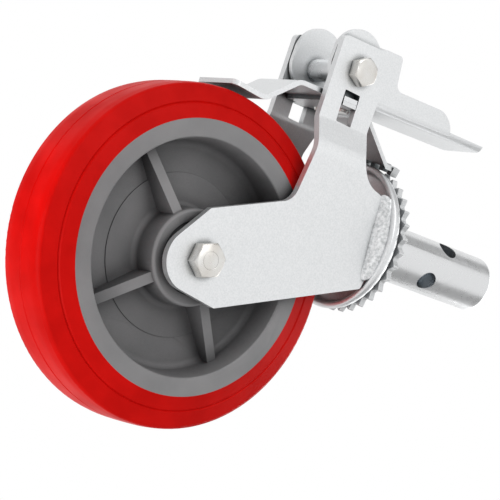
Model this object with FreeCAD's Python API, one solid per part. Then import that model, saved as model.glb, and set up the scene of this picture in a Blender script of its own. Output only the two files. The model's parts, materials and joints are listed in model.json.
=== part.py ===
import FreeCAD, Part
import math
import os
from collections import namedtuple

from FreeCAD import Vector

os.makedirs("parts", exist_ok=True)

# A locking swivel castor for a scaffold leg. Millimetres, +Z up along the stem.
# The origin is on the stem's axis, on the top face of the toothed ring that the scaffold tube
# sits on. The wheel trails towards +X, and the brake with its pedal is on the -X side.

# Stem, a turned bar
stem_radius = 17.45
stem_length = 104.0
stem_end_round = 4.0
stem_foot_step = 0.5
stem_hole_radius = 6.5
stem_hole_turn = -52.5
stem_hole_cross = 90.0
low_hole_height = 51.5
high_hole_height = 65.0
kingpin_radius = 8.0
kingpin_spare = 2.0

# Toothed ring fixed to the stem
ring_thickness = 4.0
tooth_count = 32
tooth_setback = 0.6
tooth_depth = 2.7
tooth_crown = 0.7
tooth_tip_half_angle = 1.3
tooth_root_half_angle = 3.6

# Crown, a pressed dish that opens towards the wheel
crown_ledge = 8.3
crown_gap = 1.5
crown_sheet = 4.0
crown_depth = 9.0
crown_bend = 6.5
crown_bore_clearance = 1.0

# Swivel ball races
swivel_ball_radius = 3.2
groove_clearance = 0.08
upper_ball_pitch = 27.0
upper_ball_count = 18
lower_ball_pitch = 19.5
lower_ball_count = 12
race_gap = 2.0
race_thickness = 5.0
race_radius = 25.0
race_top_round = 1.0
race_foot_round = 1.5
kingpin_nut_width = 24.0
kingpin_nut_height = 13.0
kingpin_washer_radius = 15.0
kingpin_washer_thickness = 2.5

# Wheel
wheel_radius = 100.0
trail = 46.0
tyre_clearance = 0.5
tyre_thickness = 20.5
core_half_width = 24.5
rim_thickness = 10.8
rim_draft = 3.0
rim_edge_round = 1.2
web_half_thickness = 5.0
web_step_offset = 0.65
web_step = 0.6
web_fillet = 4.0
hub_radius = 28.2
hub_edge_round = 2.0
hub_foot_round = 3.5
hub_recess_radius = 21.5
hub_recess_depth = 1.5
rib_count = 4
rib_half_thickness = 3.1
rib_turn = 38.4
rib_hub_height = 22.0
rib_rim_height = 11.5
rib_sink = 2.0
key_width = 18.0
key_depth = 4.0
key_slope = 2.0
tread_half_width = 18.4
tread_shoulder_depth = 2.4
tread_shoulder_drop = 0.55
tread_shoulder_round = 3.0
tread_edge = 7.0
tread_edge_drop = 0.1
tread_edge_round = 30.0
tread_line = 0.35
side_groove_rise = 8.8
side_groove = 0.8

# Wheel bearings, sleeve and axle
bearing_bore_radius = 7.5
bearing_outer_radius = 17.5
bearing_width = 11.0
bearing_inset = 0.5
bearing_ring_wall = 2.7
bearing_ball_radius = 3.0
bearing_ball_count = 7
hub_bore_radius = 14.0
spacer_wall = 3.0
axle_radius = 6.0
axle_head_width = 19.0
axle_head_height = 7.5
axle_head_turn = -11.5
axle_nut_height = 10.0
axle_washer_radius = 12.0
bolt_clearance = 0.1
washer_thickness = 2.5
bolt_spare = 3.0
bolt_tail_chamfer = 0.9
hex_face_step = 0.4
hex_corner_angle = 30.0

# Fork legs, cut from plate and joggled inwards to make the ears
leg_plate = 4.2
leg_clearance = 5.0
leg_half_width = 28.65
leg_rake = 21.0
nose_radius = 18.0
nose_offset = 7.4
nose_shoulder = 6.4
nose_blend = 2.0
front_edge_length = 65.4
front_edge_round = 12.0
rear_edge_length = 82.3
rear_edge_round = 15.0
neck_step = 1.83
neck_drop = 8.8
neck_sag = 1.5
neck_round = 17.0
seat_blend = 2.0
seat_flare = 7.0
seat_flare_drop = 2.5
jog_start_x = -40.0
jog_end_x = -58.5
jog_start_bend = 25.0
jog_end_bend = 7.0
ear_gap = 41.6
ear_top_x = -110.0
ear_low_z = -76.7
ear_high_z = -37.9
ear_low_rise = 4.1
ear_low_round = 4.0
ear_root_round = 30.0
ear_high_rise = 5.8
ear_high_round = 9.0
leg_seat_clearance = 0.4
weld_radius = 3.6
weld_stand = 2.8
weld_drop = 1.5
weld_lap = 0.4
weld_crest = 3.0
weld_round = 6.0

# Slots in the ears for the tabs of the brake plates
slot_x = -68.9
slot_z = -55.8
slot_length = 20.0
slot_width = 12.0
slot_lean = 2.6
slot_round = 0.8

# Brake lever, a pressed channel on a cross bolt
pivot_x = -92.3
pivot_z = -54.2
lever_sheet = 3.0
lever_side_clearance = 0.8
lever_bolt_radius = 5.0
lever_head_width = 16.0
lever_head_height = 6.4
lever_head_turn = 0.0
lever_nut_height = 8.4
lever_washer_radius = 10.0
lever_sleeve_radius = 7.0
lever_bore_clearance = 0.1
press_travel = 2.4
press_angle = 80.0
cam_gap = 0.3
cheek_top_offset = 7.2
cheek_top_radius = 18.7
cheek_top_end = 133.0
cheek_foot_rise = 0.5
cheek_shoulder_x = -112.9
cheek_shoulder_z = -20.5
pedal_start_z = -33.5
pedal_end_z = 62.5
pedal_tilt = 1.2
pedal_bend = 5.5
pedal_flange = 16.4
pedal_flange_end = 32.0
pedal_flange_round = 14.0
pedal_flange_lean = 0.6
pedal_flange_run = 3.0
shoulder_rise = 1.5
shoulder_round = 2.5
shoulder_neck_round = 5.0

# Brake plates, pressed by the cheeks of the lever
plate_top_x = -75.3
shoe_sheet = 3.0
plate_half_width = 19.3
shoe_gap = 2.7
shoe_end_angle = -1.2
shoe_foot_angle = 12.2
shoe_corner = 4.4
shoe_ramp_z = -90.5
shoe_tail_z = -44.0
shoe_bend = 9.0
tab_width = 10.6
tab_z = -55.5
tab_reach = 25.2
lock_sheet = 2.6
lock_tail_z = -68.5
lock_bend_z = -35.4
lock_slope = 44.0
lock_ramp_x = -30.0
lock_bend = 6.0
rivet_radius = 2.5
rivet_head_radius = 4.5
rivet_head_height = 1.5
rivet_spacing = 20.0
rivet_z = -48.0
finger_count = 5
finger_half_width = 1.9
finger_depth = 1.8
finger_height = 5.2
comb_clearance = 0.6
comb_spare = 0.3


def side(across, up):
    """Point of the side view, in the X-Z plane."""
    return Vector(across, 0, up)


def plan(across, along):
    """Point of the plan view, in the X-Y plane."""
    return Vector(across, along, 0)


def front(across, up):
    """Point of the front view, in the Y-Z plane."""
    return Vector(0, across, up)


def polar(radius, degrees):
    angle = math.radians(degrees)
    return radius * math.cos(angle), radius * math.sin(angle)


def corner_arc(before, corner, after, radius):
    """Start, middle and end of the arc that rounds one corner of an outline."""
    to_before = (before - corner).normalize()
    to_after = (after - corner).normalize()
    half = to_before.getAngle(to_after) / 2
    reach = radius / math.tan(half)
    bisector = (to_before + to_after).normalize()
    centre = corner + bisector * (radius / math.sin(half))
    return corner + to_before * reach, centre - bisector * radius, corner + to_after * reach


def outline(corners, view):
    """Face inside a closed outline. Each corner is (u, v) or (u, v, rounding radius)."""
    points = [view(corner[0], corner[1]) for corner in corners]
    radii = [corner[2] if len(corner) > 2 else 0 for corner in corners]
    edges = []
    first = None
    last = None
    for index, point in enumerate(points):
        before = points[index - 1]
        after = points[(index + 1) % len(points)]
        if radii[index] > 0:
            start, middle, end = corner_arc(before, point, after, radii[index])
        else:
            start, middle, end = point, None, point
        if last is not None and last.distanceToPoint(start) > 1e-6:
            edges.append(Part.LineSegment(last, start).toShape())
        if middle is not None:
            edges.append(Part.Arc(start, middle, end).toShape())
        if first is None:
            first = start
        last = end
    if last.distanceToPoint(first) > 1e-6:
        edges.append(Part.LineSegment(last, first).toShape())
    return Part.Face(Part.Wire(edges))


def ribbon(path, thickness, view):
    """Face of a bent sheet. Each point of its centre line is (u, v, radius of the bend)."""
    left = []
    right = []
    count = len(path)
    for index, (u, v, bend) in enumerate(path):
        here = Vector(u, v, 0)
        directions = []
        if index > 0:
            directions.append((here - Vector(path[index - 1][0], path[index - 1][1], 0)).normalize())
        if index < count - 1:
            directions.append((Vector(path[index + 1][0], path[index + 1][1], 0) - here).normalize())
        run_in = directions[0]
        run_out = directions[-1]
        normal_in = Vector(-run_in.y, run_in.x, 0)
        normal_out = Vector(-run_out.y, run_out.x, 0)
        mitre = (normal_in + normal_out).normalize()
        offset = thickness / 2 / mitre.dot(normal_in)
        turn = run_in.cross(run_out).z
        swing = thickness / 2 if turn > 0 else -thickness / 2
        left.append((u + mitre.x * offset, v + mitre.y * offset, bend - swing if bend else 0))
        right.append((u - mitre.x * offset, v - mitre.y * offset, bend + swing if bend else 0))
    return outline(left + right[::-1], view)


def across_y(face, half_width):
    """Solid of a side-view face, from -half_width to +half_width along Y."""
    solid = face.extrude(Vector(0, 2 * half_width, 0))
    solid.translate(Vector(0, -half_width, 0))
    return solid


def turned(corners):
    """Solid turned about the Z axis from a (radius, z) outline."""
    return outline(corners, side).revolve(Vector(0, 0, 0), Vector(0, 0, 1), 360)


def wheel_turned(corners):
    """Solid turned about the axle from a (radius, y) outline."""
    solid = outline(corners, plan).revolve(Vector(0, 0, 0), Vector(0, 1, 0), 360)
    solid.translate(Vector(trail, 0, -axle_drop))
    return solid


def rod_y(x, z, radius, start, end):
    """Cylinder along Y."""
    return Part.makeCylinder(radius, end - start, Vector(x, start, z), Vector(0, 1, 0))


def tube_y(x, z, outer, inner, start, end):
    return rod_y(x, z, outer, start, end).cut(rod_y(x, z, inner, start, end))


def hexagon(width, turn=0.0):
    """Corners of a hexagon of a given width across its flats."""
    return [polar(width / math.sqrt(3), 60 * index + turn) for index in range(6)]


def hexagon_y(x, z, width, start, end, turn=0.0):
    """Hexagonal prism along Y with its outer corners turned off."""
    prism = outline(hexagon(width, turn), side).extrude(Vector(0, end - start, 0))
    prism.translate(Vector(x, start, z))
    height = end - start
    corner_radius = width / math.sqrt(3)
    flat_radius = width / 2 - hex_face_step
    slope = (corner_radius - flat_radius) * math.tan(math.radians(hex_corner_angle))
    turning = outline([(0, 0), (flat_radius, 0), (corner_radius, slope),
                       (corner_radius, height), (0, height)], plan)
    turning = turning.revolve(Vector(0, 0, 0), Vector(0, 1, 0), 360)
    turning.translate(Vector(x, start, z))
    return prism.common(turning)


def mirrored(solid):
    return solid.mirror(Vector(0, 0, 0), Vector(0, 1, 0))


def ball_ring(count, pitch_radius, height, radius):
    """Ring of balls about the Z axis."""
    balls = []
    for index in range(count):
        x, y = polar(pitch_radius, 360 * index / count)
        balls.append(Part.makeSphere(radius, Vector(x, y, height)))
    return balls


def export(name, shape):
    shape.exportStep("parts/" + name + ".step")


# Levels of the swivel, from the ring down to the wheel
crown_top = -ring_thickness - crown_gap
crown_under = crown_top - crown_sheet
rim_z = crown_top - crown_depth
race_top = crown_under - race_gap
race_under = race_top - race_thickness
nut_top = race_under - kingpin_washer_thickness
kingpin_end = nut_top - kingpin_nut_height - kingpin_spare
axle_drop = wheel_radius + tyre_clearance - kingpin_end
upper_ball_z = (crown_top - ring_thickness) / 2
lower_ball_z = (crown_under + race_top) / 2

# Sizes of the two cross bolts with their nuts and washers
Fastener = namedtuple("Fastener", "radius width head_height nut_height washer_radius")
axle_set = Fastener(axle_radius, axle_head_width, axle_head_height, axle_nut_height, axle_washer_radius)
lever_set = Fastener(lever_bolt_radius, lever_head_width, lever_head_height, lever_nut_height,
                     lever_washer_radius)

# Planes across the fork, and the crown and ring that span it
leg_inner = core_half_width + leg_clearance
leg_outer = leg_inner + leg_plate
ear_inner = ear_gap / 2
ear_outer = ear_inner + leg_plate
lever_half_width = ear_inner - lever_side_clearance
crown_inner_radius = leg_outer + crown_ledge
crown_radius = crown_inner_radius + crown_sheet
tooth_tip_radius = crown_radius - tooth_setback
stem_foot_radius = stem_radius + stem_foot_step

# Radii of the wheel
core_radius = wheel_radius - tyre_thickness
rim_inner_radius = core_radius - rim_thickness
web_radius = rim_inner_radius - rim_draft
web_step_radius = (hub_radius + web_radius) / 2 + web_step_offset


def make_stem():
    """Bar with a rounded end, a foot for the ring and a kingpin in one piece, and two pin holes."""
    bar = turned([(0, kingpin_end), (kingpin_radius, kingpin_end), (kingpin_radius, -ring_thickness),
                  (stem_foot_radius, -ring_thickness), (stem_foot_radius, 0), (stem_radius, 0),
                  (stem_radius, stem_length, stem_end_round), (0, stem_length)])
    reach = stem_radius + 1
    for height, turn in ((low_hole_height, stem_hole_turn),
                         (high_hole_height, stem_hole_turn - stem_hole_cross)):
        x, y = polar(reach, turn)
        hole = Part.makeCylinder(stem_hole_radius, 2 * reach, Vector(-x, -y, height), Vector(x, y, 0))
        bar = bar.cut(hole)
    return bar


def groove(pitch_radius, height):
    """Ring of round section that the swivel balls run in."""
    return Part.makeTorus(pitch_radius, swivel_ball_radius + groove_clearance, Vector(0, 0, height))


def make_lock_ring():
    """Flat ring with radial teeth, its bore on the foot of the stem."""
    root_radius = tooth_tip_radius - tooth_depth
    pitch = 360 / tooth_count
    flank_radius = tooth_tip_radius - tooth_crown
    edges = []
    for index in range(tooth_count):
        middle = pitch * (index + 0.5)
        rise = plan(*polar(root_radius, middle - tooth_root_half_angle))
        crest_in = plan(*polar(flank_radius, middle - tooth_tip_half_angle))
        crest = plan(*polar(tooth_tip_radius, middle))
        crest_out = plan(*polar(flank_radius, middle + tooth_tip_half_angle))
        fall = plan(*polar(root_radius, middle + tooth_root_half_angle))
        valley = plan(*polar(root_radius - tooth_crown, middle + pitch / 2))
        next_rise = plan(*polar(root_radius, middle + pitch - tooth_root_half_angle))
        edges.append(Part.LineSegment(rise, crest_in).toShape())
        edges.append(Part.Arc(crest_in, crest, crest_out).toShape())
        edges.append(Part.LineSegment(crest_out, fall).toShape())
        edges.append(Part.Arc(fall, valley, next_rise).toShape())
    disc = Part.Face(Part.Wire(edges)).extrude(Vector(0, 0, -ring_thickness))
    bore = Part.makeCylinder(stem_foot_radius, ring_thickness, Vector(0, 0, -ring_thickness))
    return disc.cut(bore).cut(groove(upper_ball_pitch, upper_ball_z))


def make_crown():
    """Dish with a rolled skirt, and a ball groove on each face."""
    bore = kingpin_radius + crown_bore_clearance
    rim_round = crown_sheet / 2 - 0.05
    dish = turned([(bore, crown_under), (bore, crown_top), (crown_radius, crown_top, crown_bend),
                   (crown_radius, rim_z, rim_round), (crown_inner_radius, rim_z, rim_round),
                   (crown_inner_radius, crown_under, crown_bend - crown_sheet)])
    return dish.cut(groove(upper_ball_pitch, upper_ball_z)).cut(groove(lower_ball_pitch, lower_ball_z))


def make_lower_race():
    race = turned([(kingpin_radius, race_under), (kingpin_radius, race_top),
                   (race_radius, race_top, race_top_round), (race_radius, race_under, race_foot_round)])
    return race.cut(groove(lower_ball_pitch, lower_ball_z))


def make_kingpin_washer():
    return turned([(kingpin_radius, nut_top), (kingpin_radius, race_under),
                   (kingpin_washer_radius, race_under), (kingpin_washer_radius, nut_top)])


def make_kingpin_nut():
    height = nut_top - kingpin_nut_height
    prism = outline(hexagon(kingpin_nut_width), plan).extrude(Vector(0, 0, kingpin_nut_height))
    prism.translate(Vector(0, 0, height))
    return prism.cut(Part.makeCylinder(kingpin_radius, kingpin_nut_height, Vector(0, 0, height)))


def along_leg(distance, offset):
    """Point of the leg, measured from the axle along the leg and across it."""
    rake = math.radians(leg_rake)
    return (trail - distance * math.sin(rake) + offset * math.cos(rake),
            -axle_drop + distance * math.cos(rake) + offset * math.sin(rake))


def nose_tangent(sign):
    """Point where a slanted edge of the leg meets its round nose."""
    shoulder_u = nose_shoulder + nose_offset
    distance = math.hypot(shoulder_u, leg_half_width)
    lean = math.atan2(leg_half_width, shoulder_u) + math.acos(nose_radius / distance)
    return along_leg(nose_radius * math.cos(lean) - nose_offset, sign * nose_radius * math.sin(lean))


def leg_outline():
    """Side view of a leg: nose, straight strip, neck under the crown and ear."""
    seat_half = math.sqrt(crown_inner_radius ** 2 - leg_outer ** 2) - leg_seat_clearance
    neck_x = -seat_half - neck_step
    corners = [
        along_leg(nose_shoulder, -leg_half_width) + (nose_blend,),
        along_leg(front_edge_length, -leg_half_width) + (front_edge_round,),
        (jog_start_x, ear_low_z, ear_root_round),
        (ear_top_x, ear_low_z + ear_low_rise, ear_low_round),
        (ear_top_x, ear_high_z + ear_high_rise, ear_high_round),
        (neck_x, ear_high_z - neck_sag, neck_round),
        (neck_x, rim_z - neck_drop, seat_blend),
        (-seat_half, rim_z - seat_blend, seat_blend),
        (-seat_half, crown_under, crown_sheet),
        (seat_half, crown_under, crown_sheet),
        (seat_half, rim_z - leg_seat_clearance),
        (seat_half + seat_flare, rim_z - seat_flare_drop, seat_flare_drop),
        along_leg(rear_edge_length, leg_half_width) + (rear_edge_round,),
        along_leg(nose_shoulder, leg_half_width) + (nose_blend,),
    ]
    low = side(*nose_tangent(1))
    tip = side(*along_leg(-nose_offset - nose_radius, 0))
    high = side(*nose_tangent(-1))
    strip = outline(corners + [nose_tangent(1), nose_tangent(-1)], side)
    nose = Part.Face(Part.Wire([Part.Arc(low, tip, high).toShape(),
                                Part.LineSegment(high, low).toShape()]))
    return strip.fuse(nose).removeSplitter()


def make_leg():
    """Back leg: the outline cut out of a plate that is joggled inwards to the ear."""
    middle = leg_inner + leg_plate / 2
    ear_middle = ear_inner + leg_plate / 2
    sheet = ribbon([(trail + 2 * leg_half_width, middle, 0), (jog_start_x, middle, jog_start_bend),
                    (jog_end_x, ear_middle, jog_end_bend), (ear_top_x - leg_plate, ear_middle, 0)],
                   leg_plate, plan)
    plate = sheet.extrude(Vector(0, 0, 2 * axle_drop))
    plate.translate(Vector(0, 0, -1.5 * axle_drop))
    reach = leg_outer + leg_plate
    blank = leg_outline().extrude(Vector(0, reach, 0))
    leg = plate.common(blank)
    leg = leg.cut(rod_y(trail, -axle_drop, axle_radius + bolt_clearance, 0, reach))
    leg = leg.cut(rod_y(pivot_x, pivot_z, lever_bolt_radius + bolt_clearance, 0, reach))
    half_length = slot_length / 2
    half_width = slot_width / 2
    slot = outline([(-half_length, -half_width, slot_round), (-half_length, half_width, slot_round),
                    (half_length, half_width, slot_round), (half_length, -half_width, slot_round)],
                   side).extrude(Vector(0, reach, 0))
    slot.rotate(Vector(0, 0, 0), Vector(0, 1, 0), slot_lean)
    slot.translate(Vector(slot_x, 0, slot_z))
    return leg.cut(slot)


def make_leg_weld(leg):
    """Back weld: a fill between the leg and the crown's skirt, and a bead run over its length."""
    half_run = math.sqrt(crown_inner_radius ** 2 - leg_outer ** 2)
    run_radius = (half_run ** 2 + weld_stand ** 2) / (2 * weld_stand)
    run_angle = math.degrees(math.asin(half_run / run_radius))
    level = rim_z - weld_drop
    fill = turned([(leg_inner, level), (leg_inner, crown_under), (crown_inner_radius, crown_under),
                   (crown_inner_radius, rim_z), (crown_inner_radius + weld_lap, rim_z),
                   (leg_outer + weld_stand, level - weld_crest, weld_round)])
    reach = 2 * crown_radius
    outside = Part.makeBox(reach, reach, reach, Vector(-crown_radius, leg_outer, -crown_radius))
    bead = Part.Face(Part.Wire(Part.Circle(Vector(0, leg_outer + weld_stand, level), Vector(1, 0, 0),
                                           weld_radius).toShape()))
    centre = Vector(0, leg_outer + weld_stand - run_radius, 0)
    bead.rotate(centre, Vector(0, 0, 1), -run_angle)
    bead = bead.revolve(centre, Vector(0, 0, 1), 2 * run_angle)
    for sign in (-1, 1):
        bead = bead.fuse(Part.makeSphere(weld_radius, Vector(sign * half_run, leg_outer, level)))
    weld = fill.common(outside).fuse(bead)
    return weld.cut(leg).cut(make_crown()).removeSplitter()


def key_ring():
    """Part of the outline where a ring on the core keys into the tread."""
    half_root = key_width / 2
    half_tip = half_root - key_slope
    tip = core_radius + key_depth
    return [(core_radius, -half_root), (tip, -half_tip), (tip, half_tip), (core_radius, half_root)]


def make_core():
    """Moulded wheel centre: rim, dished web, hub and radial ribs on both faces."""
    edge = core_half_width
    web = web_half_thickness
    half = [(core_radius, edge), (rim_inner_radius, edge, rim_edge_round),
            (web_radius, web, web_fillet), (web_step_radius, web), (web_step_radius, web + web_step),
            (hub_radius, web + web_step, hub_foot_round), (hub_radius, edge, hub_edge_round),
            (hub_recess_radius, edge),
            (hub_recess_radius, edge - hub_recess_depth),
            (bearing_outer_radius, edge - hub_recess_depth),
            (bearing_outer_radius, edge - bearing_inset - bearing_width),
            (hub_bore_radius, edge - bearing_inset - bearing_width)]
    other = [(corner[0], -corner[1]) + tuple(corner[2:]) for corner in reversed(half)]
    core = wheel_turned(half + other + key_ring())
    foot = hub_radius - rib_sink
    rib_face = outline([(foot, web - web_step), (web_radius + rib_sink, web - web_step),
                        (web_radius + rib_sink, rib_rim_height), (foot, rib_hub_height)], plan)
    rib = rib_face.extrude(Vector(0, 0, 2 * rib_half_thickness))
    rib.translate(Vector(0, 0, -rib_half_thickness))
    for index in range(rib_count):
        blade = rib.copy()
        blade.rotate(Vector(0, 0, 0), Vector(0, 1, 0), 180 - rib_turn + 360 * index / rib_count)
        blade.translate(Vector(trail, 0, -axle_drop))
        core = core.fuse(blade).fuse(mirrored(blade))
    return core.removeSplitter()


def make_tyre():
    """Tread moulded round the core, with sloping sides and a fine line round each side."""
    edge = core_half_width
    slope = (edge - tread_half_width) / (tyre_thickness - tread_shoulder_depth)
    side_groove_radius = core_radius + side_groove_rise
    groove_y = edge - slope * side_groove_rise
    half = [(core_radius, edge), (side_groove_radius - side_groove, groove_y + slope * side_groove),
            (side_groove_radius, groove_y - side_groove),
            (side_groove_radius + side_groove, groove_y - slope * side_groove),
            (wheel_radius - 1.5 * tread_shoulder_drop, tread_half_width - tread_shoulder_drop,
             tread_shoulder_round),
            (wheel_radius - tread_edge_drop, tread_half_width - tread_edge, tread_edge_round)]
    other = [(corner[0], -corner[1]) + tuple(corner[2:]) for corner in reversed(half)]
    crest = [(wheel_radius, 2 * tread_line), (wheel_radius - tread_line, 0), (wheel_radius, -2 * tread_line)]
    return wheel_turned(half + crest + other + key_ring())


def bearing_groove(middle):
    torus = Part.makeTorus((bearing_bore_radius + bearing_outer_radius) / 2,
                           bearing_ball_radius + groove_clearance, Vector(0, 0, 0), Vector(0, 1, 0))
    torus.translate(Vector(trail, middle, -axle_drop))
    return torus


def make_bearings():
    """Inner rings, outer rings and balls of the two wheel bearings."""
    inner_rings = []
    outer_rings = []
    balls = []
    pitch = (bearing_bore_radius + bearing_outer_radius) / 2
    for sign in (-1, 1):
        middle = sign * (core_half_width - bearing_inset - bearing_width / 2)
        start = middle - bearing_width / 2
        end = middle + bearing_width / 2
        cut = bearing_groove(middle)
        inner = tube_y(trail, -axle_drop, bearing_bore_radius + bearing_ring_wall, bearing_bore_radius,
                       start, end)
        outer = tube_y(trail, -axle_drop, bearing_outer_radius, bearing_outer_radius - bearing_ring_wall,
                       start, end)
        inner_rings.append(inner.cut(cut))
        outer_rings.append(outer.cut(cut))
        for index in range(bearing_ball_count):
            x, z = polar(pitch, 360 * index / bearing_ball_count)
            balls.append(Part.makeSphere(bearing_ball_radius, Vector(trail + x, middle, -axle_drop + z)))
    return inner_rings, outer_rings, balls


def bolt_y(x, z, grip, fastener, turn):
    """Hex bolt along Y, its head on the -Y side of a grip and its tail past the nut."""
    tail = grip + washer_thickness + fastener.nut_height + bolt_spare
    shank = rod_y(x, z, fastener.radius, -grip, tail)
    shank = shank.makeChamfer(bolt_tail_chamfer, [edge for edge in shank.Edges
                                                  if abs(edge.BoundBox.YMin - tail) < 1e-6
                                                  and abs(edge.BoundBox.YMax - tail) < 1e-6])
    head = hexagon_y(x, z, fastener.width, -grip - fastener.head_height, -grip, turn)
    return head.fuse(shank).removeSplitter()


def nut_y(x, z, grip, fastener):
    """Nut on the +Y side of a grip, over its washer."""
    start = grip + washer_thickness
    end = start + fastener.nut_height
    body = hexagon_y(x, z, fastener.width, start, end)
    flipped = body.mirror(Vector(0, (start + end) / 2, 0), Vector(0, 1, 0))
    return flipped.cut(rod_y(x, z, fastener.radius, start, end))


def washer_y(x, z, grip, fastener):
    return tube_y(x, z, fastener.washer_radius, fastener.radius, grip, grip + washer_thickness)


def make_shoe():
    """Spring leaf: flat pad over the tread, ramp, and flat tail with a tab in each slot."""
    middle = plate_top_x + shoe_sheet / 2
    pad_half_angle = math.radians((shoe_foot_angle - shoe_end_angle) / 2)
    pad_radius = (wheel_radius + shoe_gap + shoe_sheet / 2) / math.cos(pad_half_angle)
    end_x, end_z = polar(pad_radius, 180 - shoe_end_angle)
    foot_x, foot_z = polar(pad_radius, 180 - shoe_foot_angle)
    end = -axle_drop + end_z
    path = [(trail + end_x, end, 0),
            (trail + foot_x, -axle_drop + foot_z, shoe_bend),
            (middle, shoe_ramp_z, shoe_bend),
            (middle, shoe_tail_z, 0)]
    blank = outline([(-plate_half_width, end, shoe_corner), (-plate_half_width, shoe_tail_z),
                     (plate_half_width, shoe_tail_z), (plate_half_width, end, shoe_corner)], front)
    leaf = across_y(ribbon(path, shoe_sheet, side), plate_half_width)
    leaf = leaf.common(blank.extrude(Vector(2 * plate_top_x, 0, 0)))
    tab = Part.makeBox(shoe_sheet, 2 * tab_reach, tab_width,
                       Vector(plate_top_x, -tab_reach, tab_z - tab_width / 2))
    return drill_rivets(leaf.fuse(tab).removeSplitter())


def make_lock_plate():
    """Lock plate: flat tail under the leaf, ramp to the ring, and a curved comb of fingers."""
    face_x = plate_top_x + shoe_sheet
    middle = face_x + lock_sheet / 2
    inner_radius = tooth_tip_radius - finger_depth
    wall_radius = crown_radius + comb_clearance
    outer_radius = wall_radius + lock_sheet
    rise = math.tan(math.radians(90 - lock_slope))
    ramp_z = lock_bend_z + (lock_ramp_x - middle) * rise
    path = [(middle, lock_tail_z, 0), (middle, lock_bend_z, lock_bend), (lock_ramp_x, ramp_z, 0)]
    sheet = across_y(ribbon(path, lock_sheet, side), plate_half_width)
    tab = Part.makeBox(lock_sheet, 2 * tab_reach, tab_width,
                       Vector(face_x, -tab_reach, tab_z - tab_width / 2))
    reach = 2 * crown_radius
    bottom = lock_bend_z - lock_sheet
    rest_place = Vector(-press_travel, 0, bottom)
    inside = Part.makeCylinder(wall_radius, reach, rest_place)
    wall = Part.makeCylinder(outer_radius, comb_spare - bottom, rest_place).cut(inside)
    above = across_y(outline([(middle, lock_bend_z), (lock_ramp_x, ramp_z), (lock_ramp_x, reach),
                              (-reach, reach), (-reach, lock_bend_z)], side), plate_half_width)
    plate = sheet.cut(inside).fuse(tab).fuse(wall.common(above))
    gap_floor = comb_spare - finger_height
    pitch = 360 / tooth_count
    trim = Part.makeCylinder(reach, reach, Vector(-press_travel, 0, gap_floor))
    plate = plate.cut(trim)
    for index in range(finger_count):
        turn = pitch * (index - (finger_count - 1) / 2)
        finger = Part.makeBox(outer_radius - inner_radius, 2 * finger_half_width, finger_height,
                              Vector(inner_radius, -finger_half_width, gap_floor))
        finger.rotate(Vector(0, 0, 0), Vector(0, 0, 1), 180 + turn)
        finger.translate(Vector(-press_travel, 0, 0))
        plate = plate.fuse(finger)
    return drill_rivets(plate.removeSplitter())


def at_rivets(solid):
    """Copies of a solid turned about the X axis, one at each rivet."""
    copies = []
    for sign in (-1, 1):
        copy = solid.copy()
        copy.translate(Vector(0, sign * rivet_spacing / 2, rivet_z))
        copies.append(copy)
    return copies


def make_plate_rivets():
    """Two flat-headed rivets that hold the leaf and the lock plate together."""
    inner_x = plate_top_x + shoe_sheet + lock_sheet
    face_radius = rivet_head_radius - rivet_head_height / 2
    profile = outline([(plate_top_x - rivet_head_height, 0), (plate_top_x - rivet_head_height, face_radius),
                       (plate_top_x, rivet_head_radius), (plate_top_x, rivet_radius),
                       (inner_x, rivet_radius), (inner_x, rivet_head_radius),
                       (inner_x + rivet_head_height, face_radius), (inner_x + rivet_head_height, 0)], plan)
    return at_rivets(profile.revolve(Vector(0, 0, 0), Vector(1, 0, 0), 360))


def drill_rivets(plate):
    drill = Part.makeCylinder(rivet_radius, shoe_sheet + lock_sheet, Vector(plate_top_x, 0, 0),
                              Vector(1, 0, 0))
    for hole in at_rivets(drill):
        plate = plate.cut(hole)
    return plate


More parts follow.
